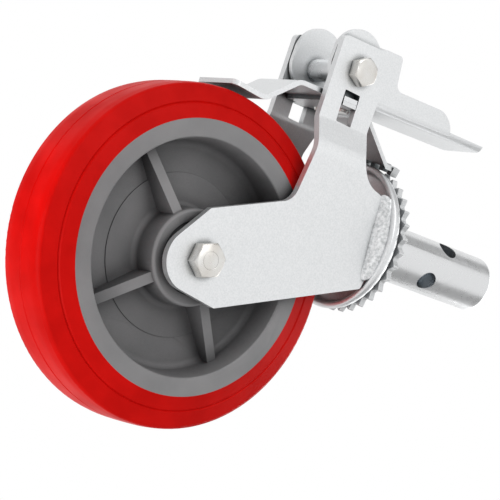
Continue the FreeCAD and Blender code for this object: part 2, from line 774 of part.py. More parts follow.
def make_lever():
    """Pedal channel with two cheeks; the lower edge of each cheek is the cam."""
    half_angle = math.radians(press_angle / 2)
    cam_offset = press_travel / 2 / math.sin(half_angle)
    cam_x = pivot_x - press_travel / 2
    cam_z = pivot_z - cam_offset * math.cos(half_angle)
    cam_floor = plate_top_x - cam_gap
    cam_radius = cam_floor - cam_x
    top_x = pivot_x - cheek_top_offset
    start = side(cam_floor, cam_z)
    cam_middle = polar(cam_radius, -45)
    cam_end = side(cam_x, cam_z - cam_radius)
    top_start = side(top_x, pivot_z - cheek_top_radius)
    top_end_offset = polar(cheek_top_radius, cheek_top_end)
    top_middle_offset = polar(cheek_top_radius, (270 + cheek_top_end) / 2)
    top_middle = side(top_x + top_middle_offset[0], pivot_z + top_middle_offset[1])
    top_end = side(top_x + top_end_offset[0], pivot_z + top_end_offset[1])
    shoulder = side(cheek_shoulder_x, pedal_start_z + cheek_foot_rise)
    foot = side(cam_floor, pedal_start_z + cheek_foot_rise)
    cheek_face = Part.Face(Part.Wire([
        Part.Arc(start, side(cam_x + cam_middle[0], cam_z + cam_middle[1]), cam_end).toShape(),
        Part.LineSegment(cam_end, top_start).toShape(),
        Part.Arc(top_start, top_middle, top_end).toShape(),
        Part.LineSegment(top_end, shoulder).toShape(),
        Part.LineSegment(shoulder, foot).toShape(),
        Part.LineSegment(foot, start).toShape()]))
    cheeks = across_y(cheek_face, lever_half_width)
    core = across_y(cheek_face, lever_half_width - lever_sheet)
    cheeks = cheeks.cut(core)

    far = cheek_shoulder_x - pedal_flange
    channel = outline([(cam_floor, -lever_half_width, pedal_bend), (cam_floor, lever_half_width, pedal_bend),
                       (far, lever_half_width), (far, lever_half_width - lever_sheet),
                       (cam_floor - lever_sheet, lever_half_width - lever_sheet, pedal_bend - lever_sheet),
                       (cam_floor - lever_sheet, -lever_half_width + lever_sheet, pedal_bend - lever_sheet),
                       (far, -lever_half_width + lever_sheet), (far, -lever_half_width)], plan)
    length = pedal_end_z - pedal_start_z
    pedal = channel.extrude(Vector(0, 0, length))
    pedal.rotate(Vector(cam_floor, 0, 0), Vector(0, 1, 0), -pedal_tilt)
    pedal.translate(Vector(0, 0, pedal_start_z))
    flange_x = cam_floor - pedal_flange
    web_x = cam_floor - lever_sheet - pedal_flange_run
    beyond_x = cam_floor + pedal_flange
    beyond_z = pedal_end_z + pedal_flange
    profile = outline([(beyond_x, pedal_start_z), (cheek_shoulder_x, pedal_start_z),
                       (cheek_shoulder_x, cheek_shoulder_z, shoulder_round),
                       (flange_x, cheek_shoulder_z + shoulder_rise, shoulder_neck_round),
                       (flange_x - pedal_flange_lean, pedal_flange_end, pedal_flange_round),
                       (web_x, pedal_flange_end + pedal_flange_lean), (web_x, beyond_z),
                       (beyond_x, beyond_z)], side)
    pedal = pedal.common(across_y(profile, lever_half_width))
    lever = cheeks.fuse(pedal)
    bore = lever_sleeve_radius + lever_bore_clearance
    lever = lever.cut(rod_y(pivot_x, pivot_z, bore, -lever_half_width, lever_half_width))
    return lever.removeSplitter()


def main():
    export("stem", make_stem())
    export("lock_ring", make_lock_ring())
    export("fork_crown", make_crown())
    export("lower_race", make_lower_race())
    export("kingpin_washer", make_kingpin_washer())
    export("kingpin_nut", make_kingpin_nut())
    export("upper_balls", Part.makeCompound(
        ball_ring(upper_ball_count, upper_ball_pitch, upper_ball_z, swivel_ball_radius)))
    export("lower_balls", Part.makeCompound(
        ball_ring(lower_ball_count, lower_ball_pitch, lower_ball_z, swivel_ball_radius)))

    leg = make_leg()
    weld = make_leg_weld(leg)
    export("fork_leg_back", leg)
    export("fork_leg_front", mirrored(leg))
    export("leg_weld_back", weld)
    export("leg_weld_front", mirrored(weld))

    export("wheel_core", make_core())
    export("tyre", make_tyre())
    inner_rings, outer_rings, balls = make_bearings()
    export("bearing_inner_rings", Part.makeCompound(inner_rings))
    export("bearing_outer_rings", Part.makeCompound(outer_rings))
    export("bearing_balls", Part.makeCompound(balls))
    bearing_face = core_half_width - bearing_inset
    spacer_end = bearing_face - bearing_width
    export("hub_spacer", tube_y(trail, -axle_drop, bearing_bore_radius + spacer_wall, bearing_bore_radius,
                                -spacer_end, spacer_end))
    export("axle_sleeve", tube_y(trail, -axle_drop, bearing_bore_radius, axle_radius + bolt_clearance,
                                 -leg_inner, leg_inner))
    collar = tube_y(trail, -axle_drop, bearing_bore_radius + spacer_wall, bearing_bore_radius,
                    bearing_face, leg_inner)
    export("axle_collars", Part.makeCompound([collar, mirrored(collar)]))
    export("axle_bolt", bolt_y(trail, -axle_drop, leg_outer, axle_set, axle_head_turn))
    export("axle_washer", washer_y(trail, -axle_drop, leg_outer, axle_set))
    export("axle_nut", nut_y(trail, -axle_drop, leg_outer, axle_set))

    export("brake_lever", make_lever())
    export("lever_bolt", bolt_y(pivot_x, pivot_z, ear_outer, lever_set, lever_head_turn))
    export("lever_sleeve", tube_y(pivot_x, pivot_z, lever_sleeve_radius, lever_bolt_radius + bolt_clearance,
                                  -ear_inner, ear_inner))
    export("lever_washer", washer_y(pivot_x, pivot_z, ear_outer, lever_set))
    export("lever_nut", nut_y(pivot_x, pivot_z, ear_outer, lever_set))
    export("brake_shoe", make_shoe())
    export("swivel_lock_plate", make_lock_plate())
    export("plate_rivets", Part.makeCompound(make_plate_rivets()))


main()
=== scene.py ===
import json
import logging
import math
from dataclasses import dataclass, field
from enum import Enum

import bmesh
import bpy
from mathutils import Matrix, Vector


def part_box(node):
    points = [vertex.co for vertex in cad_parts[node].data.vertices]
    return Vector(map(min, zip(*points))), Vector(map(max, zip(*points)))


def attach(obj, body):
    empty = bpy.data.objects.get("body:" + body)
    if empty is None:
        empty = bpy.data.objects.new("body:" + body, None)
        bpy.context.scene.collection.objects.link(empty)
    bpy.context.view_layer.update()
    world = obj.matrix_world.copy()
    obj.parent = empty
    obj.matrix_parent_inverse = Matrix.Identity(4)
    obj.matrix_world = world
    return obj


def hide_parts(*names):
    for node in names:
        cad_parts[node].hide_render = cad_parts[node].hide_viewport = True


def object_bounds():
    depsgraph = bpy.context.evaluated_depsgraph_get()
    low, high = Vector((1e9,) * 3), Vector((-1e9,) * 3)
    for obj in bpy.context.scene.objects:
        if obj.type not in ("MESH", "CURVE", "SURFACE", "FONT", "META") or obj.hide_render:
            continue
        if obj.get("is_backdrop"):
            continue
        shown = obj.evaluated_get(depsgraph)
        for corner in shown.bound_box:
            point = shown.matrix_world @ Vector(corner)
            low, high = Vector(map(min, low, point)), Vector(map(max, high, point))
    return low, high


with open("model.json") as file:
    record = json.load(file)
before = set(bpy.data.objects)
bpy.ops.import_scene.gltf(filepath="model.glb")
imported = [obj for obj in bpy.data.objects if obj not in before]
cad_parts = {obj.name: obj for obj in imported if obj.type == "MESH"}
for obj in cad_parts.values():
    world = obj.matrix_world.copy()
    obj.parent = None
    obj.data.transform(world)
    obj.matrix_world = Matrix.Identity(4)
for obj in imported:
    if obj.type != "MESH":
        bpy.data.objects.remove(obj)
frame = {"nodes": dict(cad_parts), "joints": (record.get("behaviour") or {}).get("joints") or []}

MM = 0.001

# Soft noise seldom leaves this range, so a pattern is read between its two ends.
NOISE_LOW = 0.3
NOISE_HIGH = 0.7

# Corners of a CAD mesh that are nearer than this, in metres, are one corner.
SAME_CORNER = 2e-6

log = logging.getLogger("castor")


class Body(Enum):
    """The bodies of the frame that a piece can ride on."""

    STEM = "stem"
    FORK = "fork"
    WHEEL = "wheel"
    LEVER = "lever"
    PLATES = "brake_plates"


class Pivot(Enum):
    """The joints whose places the pieces are built round."""

    WHEEL = "wheel_spin"
    PEDAL = "brake_pedal"

    def place(self) -> Vector:
        """Return the joint's place in the frame."""
        found = [joint for joint in frame["joints"] if joint["name"] == self.value]
        return Vector(found[0]["pos_m"])


def linear(hex_colour: str) -> tuple[float, float, float, float]:
    """Turn an sRGB hex colour into the linear colour that a shader takes, by the sRGB formula.

    Args:
        hex_colour: Six hex digits with a leading mark, as on a colour card.

    Returns:
        Red, green, blue and an alpha of one.
    """
    channels = [int(hex_colour[start:start + 2], 16) / 255 for start in (1, 3, 5)]
    parts = [c / 12.92 if c <= 0.04045 else ((c + 0.055) / 1.055) ** 2.4 for c in channels]
    return (parts[0], parts[1], parts[2], 1.0)


def add_node(tree: bpy.types.NodeTree, kind: str, sockets: dict | None = None,
             **settings: object) -> bpy.types.Node:
    """Add one node with its settings, and set or link its sockets.

    Args:
        tree: The shader or geometry tree that gets the node.
        kind: Blender's name of the node type.
        sockets: Input socket, by name or number, to a plain value, to an output socket to link,
            or to a node whose first output is linked.
        **settings: Properties of the node itself.

    Returns:
        The new node.
    """
    node = tree.nodes.new(kind)
    for name, value in settings.items():
        setattr(node, name, value)
    for key, value in (sockets or {}).items():
        source = value.outputs[0] if isinstance(value, bpy.types.Node) else value
        if isinstance(source, bpy.types.NodeSocket):
            tree.links.new(source, node.inputs[key])
        else:
            node.inputs[key].default_value = source
    return node


def per_metre(size_mm: float) -> float:
    """Return the texture scale that makes one feature of a pattern this many millimetres wide."""
    return 1.0 / (size_mm * MM)


@dataclass(frozen=True)
class Coat:
    """A colour that lies over the ones below it as far as a pattern says.

    Where the pattern is at bare the coat is missing, and where it is at full it has its share.
    """

    pattern: bpy.types.NodeSocket
    colour: str
    bare: float = NOISE_LOW
    full: float = NOISE_HIGH
    share: float = 1.0
    inside: bpy.types.Node | None = None


@dataclass(frozen=True)
class Finish:
    """What all the finishes share.

    Each finish is one real material and the way its surface was made. Its roughness wanders from
    smoother below the value given to rougher above it.
    """

    name: str
    slot: str
    colour: str
    metallic: float
    roughness: float
    smoother: float = 0.05
    rougher: float = 0.07

    def material(self) -> bpy.types.Material:
        """Make the material at its first use.

        Returns:
            The material, the same one at every call.
        """
        known = bpy.data.materials.get(self.name)
        if known is not None:
            return known
        material = bpy.data.materials.new(self.name)
        material.use_nodes = True
        tree = material.node_tree
        shader = tree.nodes["Principled BSDF"]
        shader.inputs["Base Color"].default_value = linear(self.colour)
        shader.inputs["Metallic"].default_value = self.metallic
        shader.inputs["Roughness"].default_value = self.roughness
        self.detail(tree, shader)
        return material

    def detail(self, tree: bpy.types.NodeTree, shader: bpy.types.Node) -> None:
        """Add what the surface shows close up.

        Args:
            tree: The material's node tree.
            shader: Its Principled node.
        """
        raise NotImplementedError

    def patches(self, tree: bpy.types.NodeTree, size_mm: float, layers: float,
                stretch: tuple[float, float, float] = (1.0, 1.0, 1.0)) -> bpy.types.NodeSocket:
        """Add soft random variation that stays put on the piece.

        Args:
            tree: The material's node tree.
            size_mm: Width of one patch.
            layers: How many finer layers are added.
            stretch: Scale of the pattern along each axis, below 1 where it is drawn out.

        Returns:
            A socket that is mostly between NOISE_LOW and NOISE_HIGH.
        """
        source = add_node(tree, "ShaderNodeTexCoord")
        place = add_node(tree, "ShaderNodeMapping",
                         {"Vector": source.outputs["Object"], "Scale": stretch})
        noise = add_node(tree, "ShaderNodeTexNoise",
                         {"Vector": place, "Scale": per_metre(size_mm), "Detail": layers})
        return noise.outputs["Fac"]

    def shade_in_recesses(self, tree: bpy.types.NodeTree, colour: str, reach_mm: float, deep: float,
                    clear: float, inside: bpy.types.Node | None = None) -> Coat:
        """Prepare a coat of painted shade for the recesses, darker where neighbouring surfaces close
        in.

        Args:
            tree: The material's node tree.
            colour: Hex colour of the painted shade.
            reach_mm: How far off a neighbouring surface still counts.
            deep: Openness at which a place counts as deep.
            clear: Openness at which a place counts as open.
            inside: A pattern that keeps the coat within a form, or none.

        Returns:
            The coat.
        """
        sky = add_node(tree, "ShaderNodeAmbientOcclusion", {"Distance": reach_mm * MM}, samples=8)
        return Coat(sky.outputs["AO"], colour, clear, deep, inside=inside)

    def paint(self, tree: bpy.types.NodeTree, shader: bpy.types.Node, *coats: Coat) -> None:
        """Lay coats over the finish's own colour, one after the other.

        Args:
            tree: The material's node tree.
            shader: Its Principled node.
            *coats: The coats, the lowest first.
        """
        below = linear(self.colour)
        for coat in coats:
            amount = add_node(tree, "ShaderNodeMapRange",
                              {"Value": coat.pattern, "From Min": coat.bare, "From Max": coat.full,
                               "To Min": 0.0, "To Max": coat.share})
            if coat.inside is not None:
                amount = add_node(tree, "ShaderNodeMath", {0: amount, 1: coat.inside},
                                  operation="MULTIPLY")
            laid = add_node(tree, "ShaderNodeMix",
                            {"Factor": amount, "A": below, "B": linear(coat.colour)},
                            data_type="RGBA")
            below = laid.outputs["Result"]
        tree.links.new(below, shader.inputs["Base Color"])

    def surface(self, tree: bpy.types.NodeTree, shader: bpy.types.Node,
                gloss: bpy.types.NodeSocket | None = None,
                height: bpy.types.NodeSocket | None = None, depth_mm: float = 0.0) -> None:
        """Let the gloss and the relief of the surface follow patterns.

        Args:
            tree: The material's node tree.
            shader: Its Principled node.
            gloss: Pattern that the roughness follows, or none where the gloss is even.
            height: Pattern that the relief follows, or none where the surface is smooth.
            depth_mm: Real height of the relief.
        """
        if gloss is not None:
            rough = add_node(tree, "ShaderNodeMapRange",
                             {"Value": gloss, "From Min": NOISE_LOW, "From Max": NOISE_HIGH,
                              "To Min": self.roughness - self.smoother,
                              "To Max": self.roughness + self.rougher})
            tree.links.new(rough.outputs["Result"], shader.inputs["Roughness"])
        if height is not None:
            bump = add_node(tree, "ShaderNodeBump", {"Height": height, "Distance": depth_mm * MM})
            tree.links.new(bump.outputs["Normal"], shader.inputs["Normal"])


@dataclass(frozen=True)
class PlatedSheet(Finish):
    """Mild steel sheet, pressed and zinc plated in a barrel: pale, satin and finely pitted.

    The real pits are a few tenths of a millimetre wide, too fine to show, so the grain is drawn as
    coarse as grain_mm. Painted shade inside a dish reaches hollow_radius_mm from the stem's axis.
    """

    smoother: float = 0.06
    rougher: float = 0.08
    pale: str = "#E6E7E8"
    # Colours of the painted shade in recesses and of the painted contact shade along seams and gaps.
    recess_shade: str = "#3F4545"
    contact_shade: str = "#5E6365"
    grain_mm: float = 0.9
    grain_depth_mm: float = 0.035
    recess_mm: float = 30.0
    recess_start: float = 0.08
    recess_end: float = 0.55
    contact_shade_mm: float = 6.0
    contact_shade_start: float = 0.4
    contact_shade_end: float = 0.85
    hollow_radius_mm: float = 0.0
    hollow_fade_mm: float = 1.0

    def detail(self, tree: bpy.types.NodeTree, shader: bpy.types.Node) -> None:
        """Add the pitted grain with its uneven gloss, painted shade in hollows and thin painted shade
        along seams.

        Args:
            tree: The material's node tree.
            shader: Its Principled node.
        """
        grain = self.patches(tree, self.grain_mm, layers=4.0)
        # Over the grain: painted shade deep in recesses, then painted contact shade along seams.
        self.paint(tree, shader, Coat(grain, self.pale),
                   self.shade_in_recesses(tree, self.recess_shade, self.recess_mm, self.recess_start,
                                    self.recess_end, self.inside_dish(tree)),
                   self.shade_in_recesses(tree, self.contact_shade, self.contact_shade_mm, self.contact_shade_start, self.contact_shade_end))
        self.surface(tree, shader, grain, grain, self.grain_depth_mm)

    def inside_dish(self, tree: bpy.types.NodeTree) -> bpy.types.Node | None:
        """Find what lies inside a dish, by its distance from the stem's axis.

        Args:
            tree: The material's node tree.

        Returns:
            A node that gives 1 inside the dish and 0 outside, or none for a piece without one.
        """
        if self.hollow_radius_mm == 0:
            return None
        source = add_node(tree, "ShaderNodeTexCoord")
        flat = add_node(tree, "ShaderNodeMapping",
                        {"Vector": source.outputs["Object"], "Scale": (1.0, 1.0, 0.0)})
        reach = add_node(tree, "ShaderNodeVectorMath", {0: flat}, operation="LENGTH")
        return add_node(tree, "ShaderNodeMapRange",
                        {"Value": reach.outputs["Value"],
                         "From Min": (self.hollow_radius_mm - self.hollow_fade_mm) * MM,
                         "From Max": self.hollow_radius_mm * MM, "To Min": 1.0, "To Max": 0.0})


@dataclass(frozen=True)
class TurnedBar(Finish):
    """Steel bar turned on a lathe and zinc plated: a satin sheen with fine rings round the bar.

    Real rings lie one or two tenths of a millimetre apart, so they are drawn as wide as ring_mm.
    """

    smoother: float = 0.04
    rougher: float = 0.06
    # Colour of the painted shade in holes and recesses.
    hole_shade: str = "#6F8290"
    ring_mm: float = 0.8
    ring_depth_mm: float = 0.0025
    round_share: float = 0.02
    mottle_mm: float = 6.0
    recess_mm: float = 14.0
    recess_start: float = 0.05
    recess_end: float = 0.5

    def detail(self, tree: bpy.types.NodeTree, shader: bpy.types.Node) -> None:
        """Add the tool's rings, a faint mottling and painted bluish shade in the holes and recesses.

        Args:
            tree: The material's node tree.
            shader: Its Principled node.
        """
        rings = self.patches(tree, self.ring_mm, layers=2.0,
                             stretch=(self.round_share, self.round_share, 1.0))
        mottle = self.patches(tree, self.mottle_mm, layers=3.0)
        self.paint(tree, shader, self.shade_in_recesses(tree, self.hole_shade, self.recess_mm,
                                                  self.recess_start, self.recess_end))
        self.surface(tree, shader, mottle, rings, self.ring_depth_mm)


@dataclass(frozen=True)
class PlatedBolt(Finish):
    """Cold-formed bolt steel, bright zinc plated: glossier than the sheet, slightly dented."""

    warm: str = "#D0CBC4"
    warm_share: float = 0.8
    # Colour of the painted shade in corners and recesses.
    recess_shade: str = "#4A4F52"
    dent_mm: float = 2.2
    dent_depth_mm: float = 0.008
    tint_mm: float = 9.0
    recess_mm: float = 2.5
    recess_start: float = 0.3
    recess_end: float = 0.7

    def detail(self, tree: bpy.types.NodeTree, shader: bpy.types.Node) -> None:
        """Add shallow dents, the faint straw tint of the passivated zinc and painted shade in the
        corners.

        Args:
            tree: The material's node tree.
            shader: Its Principled node.
        """
        dents = self.patches(tree, self.dent_mm, layers=3.0)
        tint = self.patches(tree, self.tint_mm, layers=1.0)
        self.paint(tree, shader, Coat(tint, self.warm, share=self.warm_share),
                   self.shade_in_recesses(tree, self.recess_shade, self.recess_mm, self.recess_start,
                                    self.recess_end))
        self.surface(tree, shader, dents, dents, self.dent_depth_mm)


@dataclass(frozen=True)
class GroundSteel(Finish):
    """Hardened bearing steel, ground and polished: nearly a mirror, with faint smears of grease."""

    smoother: float = 0.0
    rougher: float = 0.15
    smear_mm: float = 5.0

    def detail(self, tree: bpy.types.NodeTree, shader: bpy.types.Node) -> None:
        """Add the smears, which only dull the mirror.

        Args:
            tree: The material's node tree.
            shader: Its Principled node.
        """
        # Add the smears, which only blur the mirror.
        self.surface(tree, shader, gloss=self.patches(tree, self.smear_mm, layers=2.0))


@dataclass(frozen=True)
class WeldMetal(Finish):
    """Weld bead, plated over: glossy and lumpy, with painted shade in its pits."""

    pit_shade: str = "#B9BCBD"
    lump_mm: float = 1.8
    lump_depth_mm: float = 0.12

    def detail(self, tree: bpy.types.NodeTree, shader: bpy.types.Node) -> None:
        """Add lumps, with painted shade where they dip, on top of the modelled ripples.

        Args:
            tree: The material's node tree.
            shader: Its Principled node.
        """
        lumps = self.patches(tree, self.lump_mm, layers=4.0)
        # Painted shade where the lumps dip.
        self.paint(tree, shader, Coat(lumps, self.pit_shade, bare=NOISE_HIGH, full=NOISE_LOW))
        self.surface(tree, shader, height=lumps, depth_mm=self.lump_depth_mm)


@dataclass(frozen=True)
class CastPolyurethane(Finish):
    """Polyurethane cast round the wheel: clear red, smooth from the mould, with a soft shine."""

    rougher: float = 0.08
    deep: str = "#CE0F0B"
    ior: float = 1.5
    shine: float = 0.05
    haze_mm: float = 22.0
    skin_mm: float = 1.4
    skin_depth_mm: float = 0.010

    def detail(self, tree: bpy.types.NodeTree, shader: bpy.types.Node) -> None:
        """Add uneven depth of colour and gloss, and the faint skin of the casting.

        Args:
            tree: The material's node tree.
            shader: Its Principled node.
        """
        haze = self.patches(tree, self.haze_mm, layers=3.0)
        skin = self.patches(tree, self.skin_mm, layers=2.0)
        self.paint(tree, shader, Coat(haze, self.deep))
        self.surface(tree, shader, haze, skin, self.skin_depth_mm)
        shader.inputs["IOR"].default_value = self.ior
        shader.inputs["Specular IOR Level"].default_value = self.shine


@dataclass(frozen=True)
class MouldedPolypropylene(Finish):
    """Polypropylene moulded in an eroded steel tool: mid grey, satin, with a fine even texture.

    The tool's real texture is about a tenth of a millimetre wide, so it is drawn as coarse as
    spark_mm.
    """

    smoother: float = 0.06
    rougher: float = 0.06
    pale: str = "#989798"
    # Colour of the painted shade deep in the hollows.
    hollow_shade: str = "#232325"
    ior: float = 1.49
    shine: float = 0.35
    spark_mm: float = 0.7
    spark_depth_mm: float = 0.02
    flow_mm: float = 26.0
    recess_mm: float = 45.0
    recess_start: float = 0.15
    recess_end: float = 0.85

    def detail(self, tree: bpy.types.NodeTree, shader: bpy.types.Node) -> None:
        """Add the tool's texture, faint flow clouds and painted shade deep in the hollows.

        Args:
            tree: The material's node tree.
            shader: Its Principled node.
        """
        flow = self.patches(tree, self.flow_mm, layers=4.0)
        spark = self.patches(tree, self.spark_mm, layers=2.0)
        self.paint(tree, shader, Coat(flow, self.pale),
                   self.shade_in_recesses(tree, self.hollow_shade, self.recess_mm, self.recess_start,
                                    self.recess_end))
        self.surface(tree, shader, spark, spark, self.spark_depth_mm)
        shader.inputs["IOR"].default_value = self.ior
        shader.inputs["Specular IOR Level"].default_value = self.shine


# The legs, lever and brake leaf: pale, satin flat sheet, painted shade only in gaps and deep hollows.
SHEET = PlatedSheet("zinc_plated_sheet_steel", "plated_steel", "#D8DADB", 0.9, 0.42)

# The crown: soft, pale painted shade along its seams, and dark painted shade inside its dish.
DISHED = PlatedSheet("zinc_plated_dished_steel", "plated_steel", "#D8DADB", 0.9, 0.38,
                     recess_shade="#2E3333", contact_shade="#8F9395", recess_start=0.15, recess_end=0.75,
                     hollow_radius_mm=42.0)

# The plate that locks the swivel: painted shade wherever the legs and the crown close round it.
SHADED = PlatedSheet("zinc_plated_bracket_steel", "plated_steel", "#D8DADB", 0.9, 0.4,
                     recess_shade="#2A2E2E", recess_start=0.4, recess_end=0.95)

# The toothed ring: whiter, less like a mirror and with only light painted shade, so its short teeth
# stand out.
TOOTHED = PlatedSheet("zinc_plated_toothed_plate", "plated_steel", "#D8DADB", 0.45, 0.36,
                      recess_shade="#BEC1C3", contact_shade="#B4B7B9", recess_mm=8.0)

BAR = TurnedBar("zinc_plated_turned_bar", "turned_steel", "#DCDDDE", 1.0, 0.28)
BOLT = PlatedBolt("bright_zinc_bolt_steel", "plated_bolt", "#DEDDDA", 1.0, 0.3)
RACE = GroundSteel("ground_bearing_steel", "bearing_steel", "#C9CACC", 1.0, 0.12)
WELD = WeldMetal("plated_weld_metal", "weld", "#F5F6F7", 0.5, 0.36)
RED_TREAD = CastPolyurethane("cast_red_polyurethane", "tread", "#E01410", 0.0, 0.4)
GREY_CORE = MouldedPolypropylene("moulded_grey_polypropylene", "core_plastic", "#8B8B8C", 0.0, 0.5)


def keep_cad(finish: Finish, *nodes: str) -> None:
    """Give CAD nodes that are shown as they are their finish.

    Args:
        finish: The finish.
        *nodes: Names of the nodes.
    """
    for name in nodes:
        mesh = frame["nodes"][name].data
        mesh.materials.clear()
        mesh.materials.append(finish.material())
        log.info("%s: kept, %s", name, finish.name)


def settle(piece: bpy.types.Object, body: Body, finish: Finish, *nodes: str) -> bpy.types.Object:
    """Make a finished piece ride and stand for its nodes, and log it.

    Args:
        piece: The piece, its place in its mesh.
        body: The body that carries it.
        finish: The finish that the log names.
        *nodes: CAD nodes that it replaces.

    Returns:
        The piece.
    """
    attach(piece, body.value)
    if nodes:
        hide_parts(*nodes)
    log.info("%s: %d faces on %s, %s", piece.name, len(piece.data.polygons), body.value, finish.name)
    return piece


def new_piece(name: str, mesh: bpy.types.Mesh, finish: Finish) -> bpy.types.Object:
    """Put a mesh in the scene as an object at the origin.

    Args:
        name: Name of the piece.
        mesh: Its mesh.
        finish: Its finish.

    Returns:
        The object.
    """
    mesh.materials.clear()
    mesh.materials.append(finish.material())
    piece = bpy.data.objects.new(name, mesh)
    bpy.context.scene.collection.objects.link(piece)
    return piece


@dataclass(frozen=True)
class NodeForm:
    """A form that repeats or follows a rule, made by a tree of Geometry Nodes."""

    def tree(self, finish: Finish) -> bpy.types.NodeTree:
        """Make the tree, with its sizes as named inputs.

        Args:
            finish: The finish that the tree sets.

        Returns:
            The tree.
        """
        raise NotImplementedError

    def sizes(self) -> dict[str, float | int]:
        """Return the value of each named input."""
        raise NotImplementedError

    def seed(self) -> bpy.types.Mesh:
        """Return the mesh that the tree starts from, empty unless it follows a path."""
        return bpy.data.meshes.new("node_seed")

    def new_tree(self, name: str) -> tuple[bpy.types.NodeTree, dict[str, bpy.types.NodeSocket]]:
        """Make an empty tree with the named inputs of this form.

        Args:
            name: Name of the tree.

        Returns:
            The tree, and the socket of each input.
        """
        tree = bpy.data.node_groups.new(name, "GeometryNodeTree")
        tree.interface.new_socket("Geometry", in_out="INPUT", socket_type="NodeSocketGeometry")
        for label, value in self.sizes().items():
            kind = "NodeSocketInt" if isinstance(value, int) else "NodeSocketFloat"
            tree.interface.new_socket(label, in_out="INPUT", socket_type=kind)
        tree.interface.new_socket("Geometry", in_out="OUTPUT", socket_type="NodeSocketGeometry")
        entry = add_node(tree, "NodeGroupInput")
        return tree, {socket.name: socket for socket in entry.outputs if socket.name}

    def close_tree(self, tree: bpy.types.NodeTree, geometry: bpy.types.Node,
                   finish: Finish) -> bpy.types.NodeTree:
        """End a tree: instances made real, smooth faces and the finish.

        Args:
            tree: The tree.
            geometry: The node that has made the form.
            finish: The finish that it sets.

        Returns:
            The tree.
        """
        real = add_node(tree, "GeometryNodeRealizeInstances", {0: geometry})
        smooth = add_node(tree, "GeometryNodeSetShadeSmooth", {"Geometry": real})
        dressed = add_node(tree, "GeometryNodeSetMaterial",
                           {"Geometry": smooth, "Material": finish.material()})
        add_node(tree, "NodeGroupOutput", {0: dressed})
        return tree

    def mesh(self, finish: Finish, place: Matrix) -> bpy.types.Mesh:
        """Run the tree once and keep its plain mesh.

        Args:
            finish: The finish that it sets.
            place: Where the form goes in the frame.

        Returns:
            The mesh, at its place.
        """
        tree = self.tree(finish)
        holder = bpy.data.objects.new(tree.name, self.seed())
        bpy.context.scene.collection.objects.link(holder)
        modifier = holder.modifiers.new("grow", "NODES")
        modifier.node_group = tree
        sizes = self.sizes()
        for item in tree.interface.items_tree:
            if item.in_out == "INPUT" and item.name in sizes:
                modifier[item.identifier] = sizes[item.name]
        flatten(holder)
        mesh = holder.data
        bpy.data.objects.remove(holder)
        mesh.transform(place)
        if place.determinant() < 0:
            mesh.flip_normals()
        return mesh


@dataclass(frozen=True)
class BallRing(NodeForm):
    """Bearing balls set evenly round a circle."""

    count: int
    pitch_mm: float
    ball_mm: float
    segments: int = 28
    rings: int = 18

    def sizes(self) -> dict[str, float | int]:
        """Return the number of balls, the circle's radius and the ball's radius."""
        return {"Balls": self.count, "Pitch radius": self.pitch_mm * MM,
                "Ball radius": self.ball_mm * MM}

    def tree(self, finish: Finish) -> bpy.types.NodeTree:
        """Make a circle with a ball at each of its points.

        Args:
            finish: The finish that the tree sets.

        Returns:
            The tree.
        """
        tree, given = self.new_tree("ball_ring")
        ring = add_node(tree, "GeometryNodeMeshCircle",
                        {"Vertices": given["Balls"], "Radius": given["Pitch radius"]})
        ball = add_node(tree, "GeometryNodeMeshUVSphere",
                        {"Segments": self.segments, "Rings": self.rings,
                         "Radius": given["Ball radius"]})
        balls = add_node(tree, "GeometryNodeInstanceOnPoints", {"Points": ring, "Instance": ball})
        return self.close_tree(tree, balls, finish)


